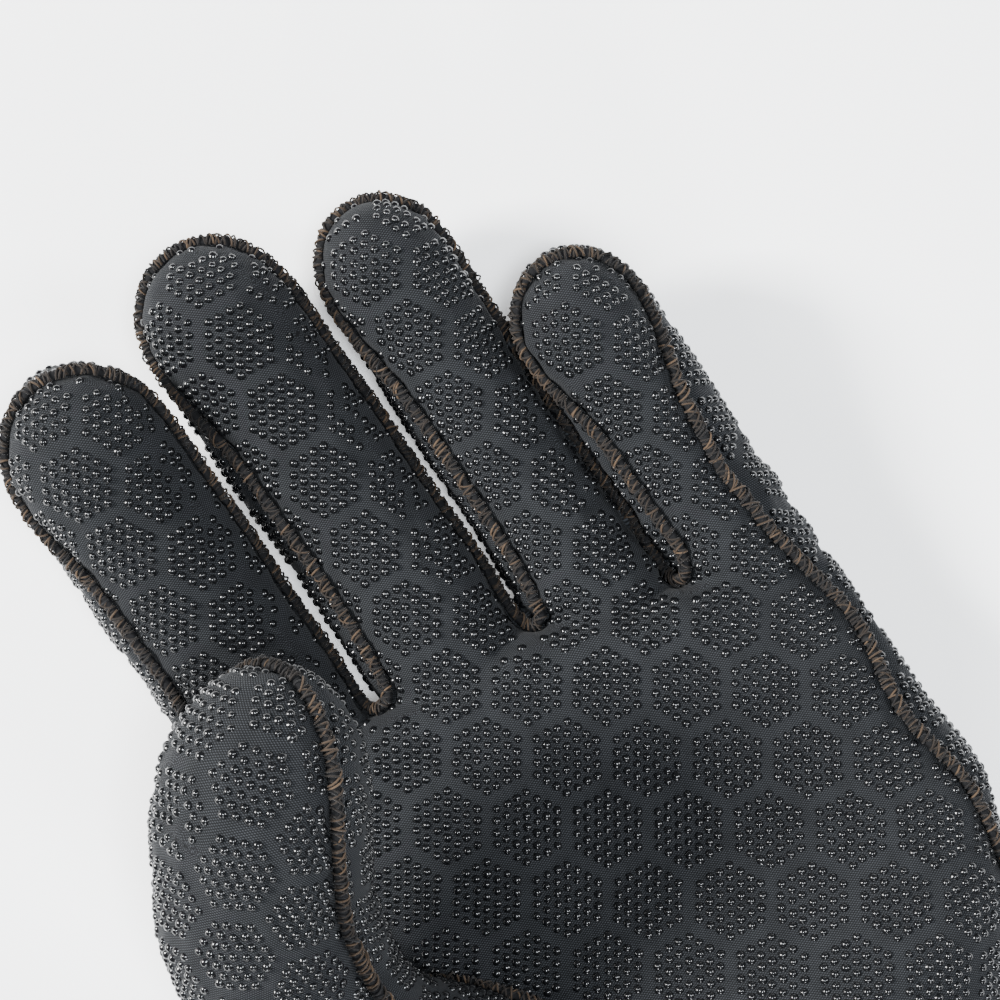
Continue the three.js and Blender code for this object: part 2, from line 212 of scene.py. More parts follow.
PROUD = 0.2 * MM
copies, trees = [], {}
for name in ("palm_panel", "back_panel", "thumb_outer_panel", "thumb_inner_panel"):
    copy = nodes[name].copy()
    copy.data = nodes[name].data.copy()
    copy.parent = None
    for key in list(copy.keys()):
        del copy[key]
    bpy.context.scene.collection.objects.link(copy)
    bm = bmesh.new()
    bm.from_mesh(copy.data)
    bmesh.ops.remove_doubles(bm, verts=bm.verts, dist=1e-6)
    bm.to_mesh(copy.data)
    trees[name] = BVHTree.FromBMesh(bm)
    bm.free()
    copy.data.update()
    put_coords(copy, coords(copy) + vertex_normals(copy) * PROUD)
    copies.append(copy)
skin = join(copies)
skin.name = "skin"
put_coords(skin, spread_fingers(coords(skin)))
mouth = float(cad_box[0][1])

# The mouth is plugged and a coarse filled core closes the hollow, so that only the outer face is left.
PLUG_DEPTH = 5 * MM
CORE_VOXEL = 2.6 * MM
CORE_INSET = 1.5 * MM
SKIN_VOXEL = 1.05 * MM
HEM = 1.4 * MM
bm = bmesh.new()
for point in coords(skin):
    if point[1] < mouth + PLUG_DEPTH:
        bm.verts.new(point)
bmesh.ops.convex_hull(bm, input=bm.verts)
bmesh.ops.delete(bm, geom=[v for v in bm.verts if not v.link_faces], context="VERTS")
bmesh.ops.recalc_face_normals(bm, faces=bm.faces)
plug_mesh = bpy.data.meshes.new("plug")
bm.to_mesh(plug_mesh)
bm.free()
plug = bpy.data.objects.new("plug", plug_mesh)
bpy.context.scene.collection.objects.link(plug)
skin = join([skin, plug])
core = skin.copy()
core.data = skin.data.copy()
bpy.context.scene.collection.objects.link(core)
apply_modifier(core, "REMESH", mode="VOXEL", voxel_size=CORE_VOXEL)
bm = widest_shell(core, mouth - 4 * PLUG_DEPTH)
bm.normal_update()
bm.to_mesh(core.data)
bm.free()
put_coords(core, coords(core) - vertex_normals(core) * CORE_INSET)
skin = join([skin, core])
apply_modifier(skin, "REMESH", mode="VOXEL", voxel_size=SKIN_VOXEL)
bm = widest_shell(skin, mouth + HEM)
bm.to_mesh(skin.data)
bm.free()
put_coords(skin, close_fingers(coords(skin)))
# Smoothing inward and outward in turn takes the steps out of the skin and keeps its size.
for _ in range(10):
    apply_modifier(skin, "SMOOTH", factor=0.5, iterations=2)
    apply_modifier(skin, "SMOOTH", factor=-0.53, iterations=2)
for polygon in skin.data.polygons:
    polygon.use_smooth = True
skin.data.materials.clear()
skin_tree = BVHTree.FromObject(skin, bpy.context.evaluated_depsgraph_get())


# The four panels.
# The palm, the back and the thumb's two halves are cut from the cloth. A panel ends where the next packed panel
# is as near as its own, and the cut runs along that line through the faces of the skin.
def smooth_field(bm, field, rounds):
    """Evens out a number per vertex with its neighbours'."""
    ends = np.array([[e.verts[0].index, e.verts[1].index] for e in bm.edges])
    count = np.bincount(ends.ravel(), minlength=len(field))
    for _ in range(rounds):
        total = np.bincount(ends[:, 0], field[ends[:, 1]], len(field))
        total += np.bincount(ends[:, 1], field[ends[:, 0]], len(field))
        field = 0.5 * field + 0.5 * total / count
    return field

LINE_ROUNDS = 30
SIDE_ROUNDS = 220
SIDE_X = 0.050
SIDE_Y = 0.026
SIDE_BLEND = 0.008
SNAP = 0.25

def cut_where(bm, nearer, further, even=False):
    """Cuts the surface along the line where two sets of packed panels are equally near. Returns the faces nearer
    to the first set. With even, the line is smoothed more down the hand's sides, away from the fingers' crotches."""
    bm.verts.index_update()

    def distance(names, co):
        return min(trees[name].find_nearest(co)[3] for name in names)

    field = np.array([distance(further, v.co) - distance(nearer, v.co) for v in bm.verts])
    field = smooth_field(bm, field, LINE_ROUNDS)
    if even:
        place = np.array([v.co[:] for v in bm.verts])
        beside = np.maximum(place[:, 0] - SIDE_X, SIDE_Y - place[:, 1]) / SIDE_BLEND
        share = np.clip(beside, 0, 1)
        field = field * (1 - share) + smooth_field(bm, field, SIDE_ROUNDS) * share
    value = bm.verts.layers.float.new("cut")
    for v in bm.verts:
        v[value] = field[v.index]
    # Points close to the line are moved onto it, so that the cut leaves no slivers.
    for v in bm.verts:
        best = None
        for edge in v.link_edges:
            other = edge.other_vert(v)
            if v[value] * other[value] < 0:
                share = v[value] / (v[value] - other[value])
                if share < SNAP and (best is None or share < best[0]):
                    best = (share, other.co.copy())
        if best:
            v.co = v.co.lerp(best[1], best[0])
            v[value] = 0
    # The edges and faces that the line still crosses are split along it.
    crossing = [e for e in bm.edges if e.verts[0][value] * e.verts[1][value] < 0]
    for edge in crossing:
        a, b = edge.verts
        share = a[value] / (a[value] - b[value])
        _, new = bmesh.utils.edge_split(edge, a, share)
        new[value] = 0
    for face in list(bm.faces):
        signs = [v[value] for v in face.verts]
        if min(signs) < 0 < max(signs):
            zero = [v for v in face.verts if v[value] == 0]
            if len(zero) >= 2:
                try:
                    bmesh.utils.face_split(face, zero[0], zero[1])
                except ValueError:
                    pass
    bm.faces.index_update()
    chosen = {f.index for f in bm.faces if sum(v[value] for v in f.verts) > 0}
    bm.verts.layers.float.remove(value)
    return chosen

def take_faces(bm, faces):
    """Moves the faces into a sheet of their own and leaves the rest. Of each sheet only the largest part stays."""
    taken = bm.copy()
    bmesh.ops.delete(bm, geom=[f for f in bm.faces if f.index in faces], context="FACES")
    bmesh.ops.delete(taken, geom=[f for f in taken.faces if f.index not in faces], context="FACES")
    for part in (bm, taken):
        parts = []
        seen = set()
        for face in part.faces:
            if face in seen:
                continue
            group, stack = [face], [face]
            seen.add(face)
            while stack:
                for edge in stack.pop().edges:
                    for other in edge.link_faces:
                        if other not in seen:
                            seen.add(other)
                            stack.append(other)
                            group.append(other)
            parts.append(group)
        parts.sort(key=len)
        for group in parts[:-1]:
            bmesh.ops.delete(part, geom=group, context="FACES")
    return taken

hand = bmesh.new()
hand.from_mesh(skin.data)
bpy.data.objects.remove(skin)
thumb_names = ("thumb_outer_panel", "thumb_inner_panel")
hand_names = ("palm_panel", "back_panel")
thumb = take_faces(hand, cut_where(hand, thumb_names, hand_names))
palm = take_faces(hand, cut_where(hand, ("palm_panel",), ("back_panel",), even=True))
thumb_outer = take_faces(thumb, cut_where(thumb, ("thumb_outer_panel",), ("thumb_inner_panel",)))
sheets = {
    "palm_panel": palm,
    "back_panel": hand,
    "thumb_outer_panel": thumb_outer,
    "thumb_inner_panel": thumb,
}


# The seams' lines.
# The panels are overlocked edge to edge: round the four fingers and down both sides of the hand, up the thumb on
# both sides, and round the thumb's root.
def border_chains(bm):
    """The open edges of a sheet as ordered lists of points."""
    bm.verts.index_update()
    links = {}
    for edge in bm.edges:
        if edge.is_boundary:
            for vert in edge.verts:
                links.setdefault(vert, []).append(edge)
    chains, used = [], set()
    for start in links:
        for edge in links[start]:
            if edge in used:
                continue
            chain, vert = [start], start
            while edge is not None:
                used.add(edge)
                vert = edge.other_vert(vert)
                chain.append(vert)
                edge = next((e for e in links[vert] if e not in used), None)
            chains.append([v.co.copy() for v in chain])
    return chains

def border_points(bm):
    """The points on the open edges of a sheet."""
    return [v.co.copy() for v in bm.verts if v.is_boundary]

def nearest_of(points):
    """A tree that finds the nearest of some points."""
    tree = KDTree(len(points))
    for i, point in enumerate(points):
        tree.insert(point, i)
    tree.balance()
    return tree

TOUCHING = 0.05 * MM
SHORTEST_RUN = 4

def shared_lines(bm, other):
    """The stretches of one sheet's border that lie on the other sheet's border."""
    near = nearest_of(border_points(other))
    lines = []
    for chain in border_chains(bm):
        flags = [near.find(p)[2] < TOUCHING for p in chain]
        if all(flags):
            lines.append((chain, True))
            continue
        turn = flags.index(False)
        chain, flags = chain[turn:] + chain[:turn], flags[turn:] + flags[:turn]
        run = []
        for point, flag in zip(chain + [chain[0]], flags + [False]):
            if flag:
                run.append(point)
            elif len(run) > SHORTEST_RUN:
                lines.append((run, False))
                run = []
            else:
                run = []
    return lines

def even_line(points, closed, pitch, rounds=14):
    """Smooths a line and sets points on it at an even pitch."""
    line = np.array([list(p) for p in points])
    if closed and np.linalg.norm(line[0] - line[-1]) < 0.01 * MM:
        line = line[:-1]
    for _ in range(rounds):
        if closed:
            line = 0.5 * line + 0.25 * (np.roll(line, 1, 0) + np.roll(line, -1, 0))
        else:
            line[1:-1] = 0.5 * line[1:-1] + 0.25 * (line[:-2] + line[2:])
    if closed:
        line = np.vstack([line, line[:1]])
    steps = np.linalg.norm(np.diff(line, axis=0), axis=1)
    along = np.concatenate([[0], np.cumsum(steps)])
    count = max(2, int(round(along[-1] / pitch)) + 1)
    marks = np.linspace(0, along[-1], count)
    return np.stack([np.interp(marks, along, line[:, k]) for k in range(3)], 1)

seams = {
    "finger_seam": shared_lines(sheets["palm_panel"], sheets["back_panel"]),
    "thumb_seam": shared_lines(sheets["thumb_outer_panel"], sheets["thumb_inner_panel"]),
}
thumb_root = []
for name in ("thumb_outer_panel", "thumb_inner_panel"):
    for other in ("palm_panel", "back_panel"):
        thumb_root += shared_lines(sheets[name], sheets[other])
seams["thumb_root_seam"] = thumb_root
LINE_PITCH = 0.5 * MM
seam_points = []
for lines in seams.values():
    for points, closed in lines:
        seam_points += [Vector(p) for p in even_line(points, closed, LINE_PITCH)]
seam_tree = nearest_of(seam_points)


# The panels' flat patterns.
# Each panel is drawn down beside its seams and puckers there, and is then laid flat in its UV map in millimetres,
# so that its knit and its print run as they do on cloth that is printed before it is cut.
def triangles_of(mesh):
    """The mesh's triangles by their vertices and by their corners."""
    mesh.calc_loop_triangles()
    count = len(mesh.loop_triangles)
    verts = np.empty(count * 3, np.int32)
    loops = np.empty(count * 3, np.int32)
    mesh.loop_triangles.foreach_get("vertices", verts)
    mesh.loop_triangles.foreach_get("loops", loops)
    return verts.reshape(-1, 3), loops.reshape(-1, 3)

EASE_STEP = 1.6

def ease(flat, solid, ends, rounds):
    """Moves the points of a flat pattern until its edges have the lengths they have on the panel."""
    length = np.linalg.norm(solid[ends[:, 0]] - solid[ends[:, 1]], axis=1)
    count = np.maximum(np.bincount(ends.ravel(), minlength=len(solid)), 1)[:, None]
    for _ in range(rounds):
        step = flat[ends[:, 1]] - flat[ends[:, 0]]
        now = np.maximum(np.linalg.norm(step, axis=1), 1e-6)
        step *= (0.5 * (1 - length / now))[:, None]
        moves = []
        for pull in step.T:
            moves.append(np.bincount(ends[:, 0], pull, len(solid)) - np.bincount(ends[:, 1], pull, len(solid)))
        flat = flat + EASE_STEP * np.stack(moves, 1) / count
    return flat

def edges_of(mesh):
    """The mesh's edges and the diagonals of its four-sided faces."""
    ends = np.empty(len(mesh.edges) * 2, np.int32)
    mesh.edges.foreach_get("vertices", ends)
    crossed = []
    for polygon in mesh.polygons:
        if len(polygon.vertices) == 4:
            a, b, c, d = polygon.vertices
            crossed += [(a, c), (b, d)]
    return np.concatenate([ends.reshape(-1, 2), np.array(crossed, np.int32).reshape(-1, 2)])

COARSE_SHARE = 0.10
COARSE_ROUNDS = 1200
FINE_ROUNDS = 120
PALM_Y = 10
PALM_REACH = 45

def flatten(piece, aim, unfold):
    """Lays the panel flat in its UV map, in millimetres. A coarse copy goes first: it is unfolded, or where nothing
    overhangs just seen from the side that aim gives, and then eased. It is turned until the middle of the hand lies
    as it is seen. The panel takes its places from it and is eased too."""
    coarse = piece.copy()
    coarse.data = piece.data.copy()
    bpy.context.scene.collection.objects.link(coarse)
    apply_modifier(coarse, "DECIMATE", ratio=COARSE_SHARE, use_collapse_triangulate=True)
    co = coords(coarse) * 1000
    verts, loops = triangles_of(coarse.data)
    right, up = aim
    seen = np.stack([co @ right, co @ up], 1)
    if unfold:
        bpy.ops.object.select_all(action="DESELECT")
        coarse.select_set(True)
        bpy.context.view_layer.objects.active = coarse
        bpy.ops.object.mode_set(mode="EDIT")
        bpy.ops.mesh.select_all(action="SELECT")
        bpy.ops.uv.unwrap(method="MINIMUM_STRETCH", iterations=30, margin=0)
        bpy.ops.object.mode_set(mode="OBJECT")
        layer = coarse.data.uv_layers.active.data
        corners = np.empty(len(layer) * 2)
        layer.foreach_get("uv", corners)
        uv = np.empty((len(co), 2))
        uv[verts] = corners.reshape(-1, 2)[loops]
    else:
        uv = seen.copy()
    a, b, c = co[verts[:, 0]], co[verts[:, 1]], co[verts[:, 2]]
    real = np.linalg.norm(np.cross(b - a, c - a), axis=1)
    if unfold:
        p, q, r = uv[verts[:, 0]], uv[verts[:, 1]], uv[verts[:, 2]]
        flat = (q - p)[:, 0] * (r - p)[:, 1] - (q - p)[:, 1] * (r - p)[:, 0]
        uv = uv * math.sqrt(real.sum() / abs(flat).sum())
    uv = ease(uv, co, edges_of(coarse.data), COARSE_ROUNDS)
    facing = np.cross(b - a, c - a) @ np.cross(right, up)
    middle = abs(co[verts[:, 1]][:, 1] - PALM_Y) < PALM_REACH
    weight = np.clip(facing / real, 0, 1) ** 4 * real * middle
    source, target = uv[verts].mean(1), seen[verts].mean(1)
    mean_s = (source * weight[:, None]).sum(0) / weight.sum()
    mean_t = (target * weight[:, None]).sum(0) / weight.sum()
    left, _, right_t = np.linalg.svd(((source - mean_s) * weight[:, None]).T @ (target - mean_t))
    uv = (uv - mean_s) @ (left @ right_t) + mean_t

    tree = BVHTree.FromPolygons(co.tolist(), verts.tolist())
    mesh = piece.data
    fine = coords(piece) * 1000
    out = np.empty((len(fine), 2))
    for i, point in enumerate(fine):
        place, _, index, _ = tree.find_nearest(point)
        a, b, c = co[verts[index]]
        across = np.cross(b - a, c - a)
        v = np.dot(np.cross(np.array(place) - a, c - a), across) / np.dot(across, across)
        w = np.dot(np.cross(b - a, np.array(place) - a), across) / np.dot(across, across)
        out[i] = np.array([1 - v - w, v, w]) @ uv[verts[index]]
    out = ease(out, fine, edges_of(mesh), FINE_ROUNDS)
    bpy.data.objects.remove(coarse)
    layer = mesh.uv_layers.new(name="UVMap").data
    corner = np.empty(len(mesh.loops), np.int32)
    mesh.loops.foreach_get("vertex_index", corner)
    layer.foreach_set("uv", np.ascontiguousarray(out[corner]).ravel())

# The directions right and up in which each panel is seen.
X, Y = np.eye(3)[:2]
views = {
    "palm_panel": (X, Y),
    "back_panel": (-X, Y),
    "thumb_outer_panel": (np.array([0.5, 0.0, -0.87]), np.array([0.0, 1.0, 0.0])),
    "thumb_inner_panel": (np.array([-0.5, 0.0, 0.87]), np.array([0.0, 1.0, 0.0])),
}

VALLEY_DEPTH, VALLEY_WIDTH = 1.1, 2.3
PUCKER_HEIGHT, PUCKER_WIDTH = 0.22, 3.5
WAVE_HEIGHT, WAVE_CLEAR = 0.5, 6
REST_HEIGHT = 1.2 * MM
REST_SHARE = 0.2
pieces = {}
for name, sheet in sheets.items():
    mesh = bpy.data.meshes.new(name + "_cloth")
    sheet.to_mesh(mesh)
    piece = bpy.data.objects.new(name + "_cloth", mesh)
    bpy.context.scene.collection.objects.link(piece)
    for polygon in mesh.polygons:
        polygon.use_smooth = True
    # The stitches draw the cloth down beside each seam and pucker it a little, and slow waves run over the rest. What
    # lies on the floor stays nearly flat.
    co, normals = coords(piece), vertex_normals(piece)
    depth = np.empty(len(co))
    for i, point in enumerate(co):
        gap = seam_tree.find(Vector(point))[2] / MM
        pucker = math.sin(point[1] / MM * 1.1 + 2 * math.sin(point[0] / MM * 0.4)) * PUCKER_HEIGHT
        soft = noise.noise(Vector(point) * 75) * 0.9 + noise.noise(Vector(point) * 190) * 0.3
        depth[i] = -VALLEY_DEPTH * math.exp(-(gap / VALLEY_WIDTH) ** 2)
        depth[i] += pucker * math.exp(-(gap / PUCKER_WIDTH) ** 2)
        depth[i] += soft * WAVE_HEIGHT * min(gap / WAVE_CLEAR, 1)
    lowest = co[:, 2] < REST_HEIGHT
    depth[lowest] = np.minimum(depth[lowest], 0) * REST_SHARE
    put_coords(piece, co + normals * depth[:, None] * MM)
    flatten(piece, views[name], name != "palm_panel")
    pieces[name] = piece


# The knit and the foam's cut edge.
# A charcoal nylon jersey of fine diagonal loops, bonded to black foam rubber. The foam shows only at the cuff's cut
# edge and between the threads of the seams.
def new_node(tree, kind, **values):
    """Adds a shader node and sets its properties."""
    node = tree.nodes.new(kind)
    for key, value in values.items():
        setattr(node, key, value)
    return node

def knit_material(name, colour):
    """Loops where two fine waves cross on the flat pattern, a little darker and lighter in clouds. The loops' height
    also sets the colour, darker in the dips between the loops and lighter on their tops: painted shade and painted
    light of the relief that the bump gives too.
    """
    material = bpy.data.materials.new(name)
    material.use_nodes = True
    tree = material.node_tree
    shader = tree.nodes["Principled BSDF"]
    shader.inputs["Roughness"].default_value = 0.85
    shader.inputs["Specular IOR Level"].default_value = 0.12
    shader.inputs["Sheen Weight"].default_value = 0.02
    shader.inputs["Sheen Roughness"].default_value = 0.45
    uv = new_node(tree, "ShaderNodeUVMap", uv_map="UVMap")
    waves = []
    for lean in (68, 130):
        wale = new_node(tree, "ShaderNodeMapping")
        wale.inputs["Rotation"].default_value = (0, 0, math.radians(lean))
        tree.links.new(uv.outputs["UV"], wale.inputs["Vector"])
        wave = new_node(tree, "ShaderNodeTexWave", bands_direction="X", wave_profile="SIN")
        wave.inputs["Scale"].default_value = 0.88
        wave.inputs["Distortion"].default_value = 0.4
        wave.inputs["Detail"].default_value = 1
        wave.inputs["Detail Scale"].default_value = 1.2
        tree.links.new(wale.outputs["Vector"], wave.inputs["Vector"])
        waves.append(wave)
    loops = new_node(tree, "ShaderNodeMath", operation="MULTIPLY")
    tree.links.new(waves[0].outputs["Fac"], loops.inputs[0])
    tree.links.new(waves[1].outputs["Fac"], loops.inputs[1])
    cloudy = new_node(tree, "ShaderNodeTexNoise")
    cloudy.inputs["Scale"].default_value = 0.22
    cloudy.inputs["Detail"].default_value = 5
    tree.links.new(uv.outputs["UV"], cloudy.inputs["Vector"])
    # Painted shade and light: the loops' height darkens the colour in the dips between the loops and lightens it on
    # their tops, and the clouds of wear then scale it.
    shade = new_node(tree, "ShaderNodeMath", operation="MULTIPLY_ADD")
    shade.inputs[1].default_value = 1.0
    shade.inputs[2].default_value = 0.08
    tree.links.new(loops.outputs[0], shade.inputs[0])
    loop_shade_and_wear = new_node(tree, "ShaderNodeMath", operation="MULTIPLY")
    tree.links.new(shade.outputs[0], loop_shade_and_wear.inputs[0])
    worn = new_node(tree, "ShaderNodeMath", operation="MULTIPLY_ADD")
    worn.inputs[1].default_value = 0.9
    worn.inputs[2].default_value = 0.55
    tree.links.new(cloudy.outputs["Fac"], worn.inputs[0])
    tree.links.new(worn.outputs[0], loop_shade_and_wear.inputs[1])
    ramp = new_node(tree, "ShaderNodeMix", data_type="RGBA")
    ramp.inputs[6].default_value = (*[0.1 * c for c in colour], 1)
    ramp.inputs[7].default_value = (*[3.4 * c for c in colour], 1)
    tree.links.new(loop_shade_and_wear.outputs[0], ramp.inputs[0])
    tree.links.new(ramp.outputs[2], shader.inputs["Base Color"])
    bump = new_node(tree, "ShaderNodeBump")
    bump.inputs["Strength"].default_value = 0.55
    bump.inputs["Distance"].default_value = 0.12 * MM
    tree.links.new(loops.outputs[0], bump.inputs["Height"])
    tree.links.new(bump.outputs["Normal"], shader.inputs["Normal"])
    return material

knit = knit_material("knit", (0.0085, 0.0092, 0.0103))

def grained_material(name, dark, light, grain, depth, rough, gloss):
    """Foam or rubber: a fine grain in its colour, its roughness and its surface, set by the piece's own place."""
    material = bpy.data.materials.new(name)
    material.use_nodes = True
    tree = material.node_tree
    shader = tree.nodes["Principled BSDF"]
    shader.inputs["Specular IOR Level"].default_value = gloss
    place = new_node(tree, "ShaderNodeTexCoord")
    speckle = new_node(tree, "ShaderNodeTexNoise")
    speckle.inputs["Scale"].default_value = grain
    speckle.inputs["Detail"].default_value = 3
    tree.links.new(place.outputs["Object"], speckle.inputs["Vector"])
    tint = new_node(tree, "ShaderNodeMix", data_type="RGBA")
    tint.inputs[6].default_value = (*dark, 1)
    tint.inputs[7].default_value = (*light, 1)
    tree.links.new(speckle.outputs["Fac"], tint.inputs[0])
    tree.links.new(tint.outputs[2], shader.inputs["Base Color"])
    span = new_node(tree, "ShaderNodeMapRange")
    span.inputs["To Min"].default_value = rough[0]
    span.inputs["To Max"].default_value = rough[1]
    tree.links.new(speckle.outputs["Fac"], span.inputs["Value"])
    tree.links.new(span.outputs["Result"], shader.inputs["Roughness"])
    bump = new_node(tree, "ShaderNodeBump")
    bump.inputs["Strength"].default_value = 0.5
    bump.inputs["Distance"].default_value = depth * MM
    tree.links.new(speckle.outputs["Fac"], bump.inputs["Height"])
    tree.links.new(bump.outputs["Normal"], shader.inputs["Normal"])
    return material

foam = grained_material(
    "foam_edge", (0.003, 0.003, 0.003), (0.010, 0.010, 0.011), grain=2600, depth=0.08, rough=(0.8, 0.95), gloss=0.1)


# The printed dots.
# Silicone rubber domes about 1.4 mm across and 0.55 mm high, printed on every panel in hexagons of 37 with a plain
# line between the hexagons. The print stops at the seams and just short of the cuff's edge.
DOT_PITCH = 1.875
DOT_HEIGHT = 0.55
DOT_RINGS = ((0.74, -0.12), (0.56, 0.62))
DOT_SCATTER = 0.07
DOT_UNEVEN = 0.07
DOT_SIZES = 0.05
DOT_TILT = 0.10
HEXAGON_PITCH = 4 * math.sqrt(3) * DOT_PITCH
HEXAGON_REACH = 6
SPARE_ROWS = 22
ON_PATTERN = 0.02
SEAM_CLEAR = 1.6 * MM
EDGE_CLEAR = 2.5 * MM

def hexagon_dots():
    """The places of one hexagon's dots."""
    out = []
    for i in range(-3, 4):
        for j in range(-3, 4):
            if abs(i + j) <= 3:
                out.append((DOT_PITCH * (i + 0.5 * j), DOT_PITCH * j * math.sqrt(0.75)))
    return np.array(out)

def print_dots(piece, name, origin, lean, sides):
    """Sets a dome at each printed place of the panel's flat pattern and returns the object. A dome is two rings, each
    with its radius and its share of the dome's height, and a top."""
    mesh = piece.data
    verts, loops = triangles_of(mesh)
    uv = np.empty(len(mesh.uv_layers.active.data) * 2)
    mesh.uv_layers.active.data.foreach_get("uv", uv)
    uv = uv.reshape(-1, 2)
    flat = uv[loops]
    corners = np.concatenate([flat.reshape(-1, 2), np.zeros((len(flat) * 3, 1))], 1)
    tree = BVHTree.FromPolygons(corners.tolist(), np.arange(len(corners)).reshape(-1, 3).tolist())
    co, normals = coords(piece), vertex_normals(piece)
    low, high = uv.min(0), uv.max(0)
    cos, sin = math.cos(math.radians(lean)), math.sin(math.radians(lean))
    turn = np.array([[cos, sin], [-sin, cos]])
    reach = int(max(high - low) / HEXAGON_PITCH) + SPARE_ROWS
    pattern = hexagon_dots()
    rng = np.random.default_rng(7)
    places, ups, sizes = [], [], []
    for i in range(-reach, reach + 1):
        for j in range(-reach, reach + 1):
            centre = np.array([HEXAGON_PITCH * math.sqrt(0.75) * j, HEXAGON_PITCH * (i + 0.5 * j)])
            centre = centre @ turn + origin
            if np.any(centre < low - HEXAGON_REACH) or np.any(centre > high + HEXAGON_REACH):
                continue
            for spot in pattern @ turn + centre + rng.normal(0, DOT_SCATTER, (len(pattern), 2)):
                hit = tree.find_nearest((spot[0], spot[1], 0), ON_PATTERN)
                if hit[0] is None:
                    continue
                a, b, c = flat[hit[2]]
                area = (b[0] - a[0]) * (c[1] - a[1]) - (b[1] - a[1]) * (c[0] - a[0])
                v = ((spot[0] - a[0]) * (c[1] - a[1]) - (spot[1] - a[1]) * (c[0] - a[0])) / area
                w = ((b[0] - a[0]) * (spot[1] - a[1]) - (b[1] - a[1]) * (spot[0] - a[0])) / area
                share = np.array([1 - v - w, v, w])
                place = share @ co[verts[hit[2]]]
                if seam_tree.find(Vector(place))[2] < SEAM_CLEAR or place[1] < mouth + EDGE_CLEAR:
                    continue
                up = share @ normals[verts[hit[2]]]
                places.append(place)
                ups.append(up / np.linalg.norm(up))
                sizes.append(rng.normal(1, DOT_SIZES))
    places, ups, sizes = np.array(places), np.array(ups), np.array(sizes)
    helper = np.where(np.abs(ups[:, :1]) < 0.8, X, Y)
    side = np.cross(ups, helper)
    side /= np.linalg.norm(side, axis=1)[:, None]
    front = np.cross(ups, side)
    ups = ups + side * rng.normal(0, DOT_TILT, (len(ups), 1)) + front * rng.normal(0, DOT_TILT, (len(ups), 1))
    out = []
    for radius, rise in DOT_RINGS:
        for k in range(sides):
            angle = 2 * math.pi * (k + (0.5 if rise > 0 else 0)) / sides
            offset = side * math.cos(angle) + front * math.sin(angle)
            wide = radius * sizes * rng.normal(1, DOT_UNEVEN, len(sizes)) * MM
            out.append(places + offset * wide[:, None] + ups * (rise * DOT_HEIGHT * MM))
    out.append(places + ups * (DOT_HEIGHT * MM * sizes)[:, None])
    points = np.stack(out, 1).reshape(-1, 3)
    faces = []
    for k in range(sides):
        n = (k + 1) % sides
        faces.append((k, n, sides + k))
        faces.append((n, sides + n, sides + k))
        faces.append((sides + k, sides + n, 2 * sides))
    faces = np.array(faces)
    step = 2 * sides + 1
    every = (faces[None] + (np.arange(len(places)) * step)[:, None, None]).reshape(-1, 3)
    return mesh_object(name, points, every)

def mesh_object(name, points, faces):
    """A smooth-shaded object from points and triangles."""
    mesh = bpy.data.meshes.new(name)
    mesh.from_pydata(points.tolist(), [], faces.tolist())
    mesh.polygons.foreach_set("use_smooth", np.ones(len(mesh.polygons), bool))
    mesh.update()
    obj = bpy.data.objects.new(name, mesh)
    bpy.context.scene.collection.objects.link(obj)
    return obj

rubber = grained_material(
    "rubber_print", (0.0018, 0.002, 0.0024), (0.0036, 0.0038, 0.0044), grain=900, depth=0.05, rough=(0.12, 0.30),
    gloss=0.4)
# For each panel: a hexagon's middle on the flat pattern, the print's lean in degrees and the sides of a dome.
prints = {
    "palm_panel": {"origin": (8.69, 35.91), "lean": -4, "sides": 8},
    "back_panel": {"origin": (8.69, 35.91), "lean": 4, "sides": 6},
    "thumb_outer_panel": {"origin": (0, 0), "lean": 0, "sides": 8},
    "thumb_inner_panel": {"origin": (0, 0), "lean": 0, "sides": 8},
}
for name, piece in pieces.items():
    row = prints[name]
    dots = print_dots(piece, name + "_dots", np.array(row["origin"]), row["lean"], row["sides"])
    dots.data.materials.append(rubber)
    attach(dots, "root")


# The seam ropes.
# The printed panels are joined by an overlock stitch: their edges are folded up together in a low ridge, and a
# brown and a dark polyester thread cross over it at every stitch, a millimetre apart.
def seam_frame(line, closed):
    """The directions along, out of and across a seam at each of its points."""
    tangent = np.gradient(line, axis=0)
    if closed:
        tangent[0] = tangent[-1] = line[1] - line[-2]
    tangent /= np.linalg.norm(tangent, axis=1)[:, None]
    up = np.array([list(skin_tree.find_nearest(Vector(p))[1]) for p in line])
    for _ in range(10):
        if closed:
            up = 0.5 * up + 0.25 * (np.roll(up, 1, 0) + np.roll(up, -1, 0))
        else:
            up[1:-1] = 0.5 * up[1:-1] + 0.25 * (up[:-2] + up[2:])
    up -= tangent * (up * tangent).sum(1)[:, None]
    up /= np.linalg.norm(up, axis=1)[:, None]
    return tangent, up, np.cross(tangent, up)

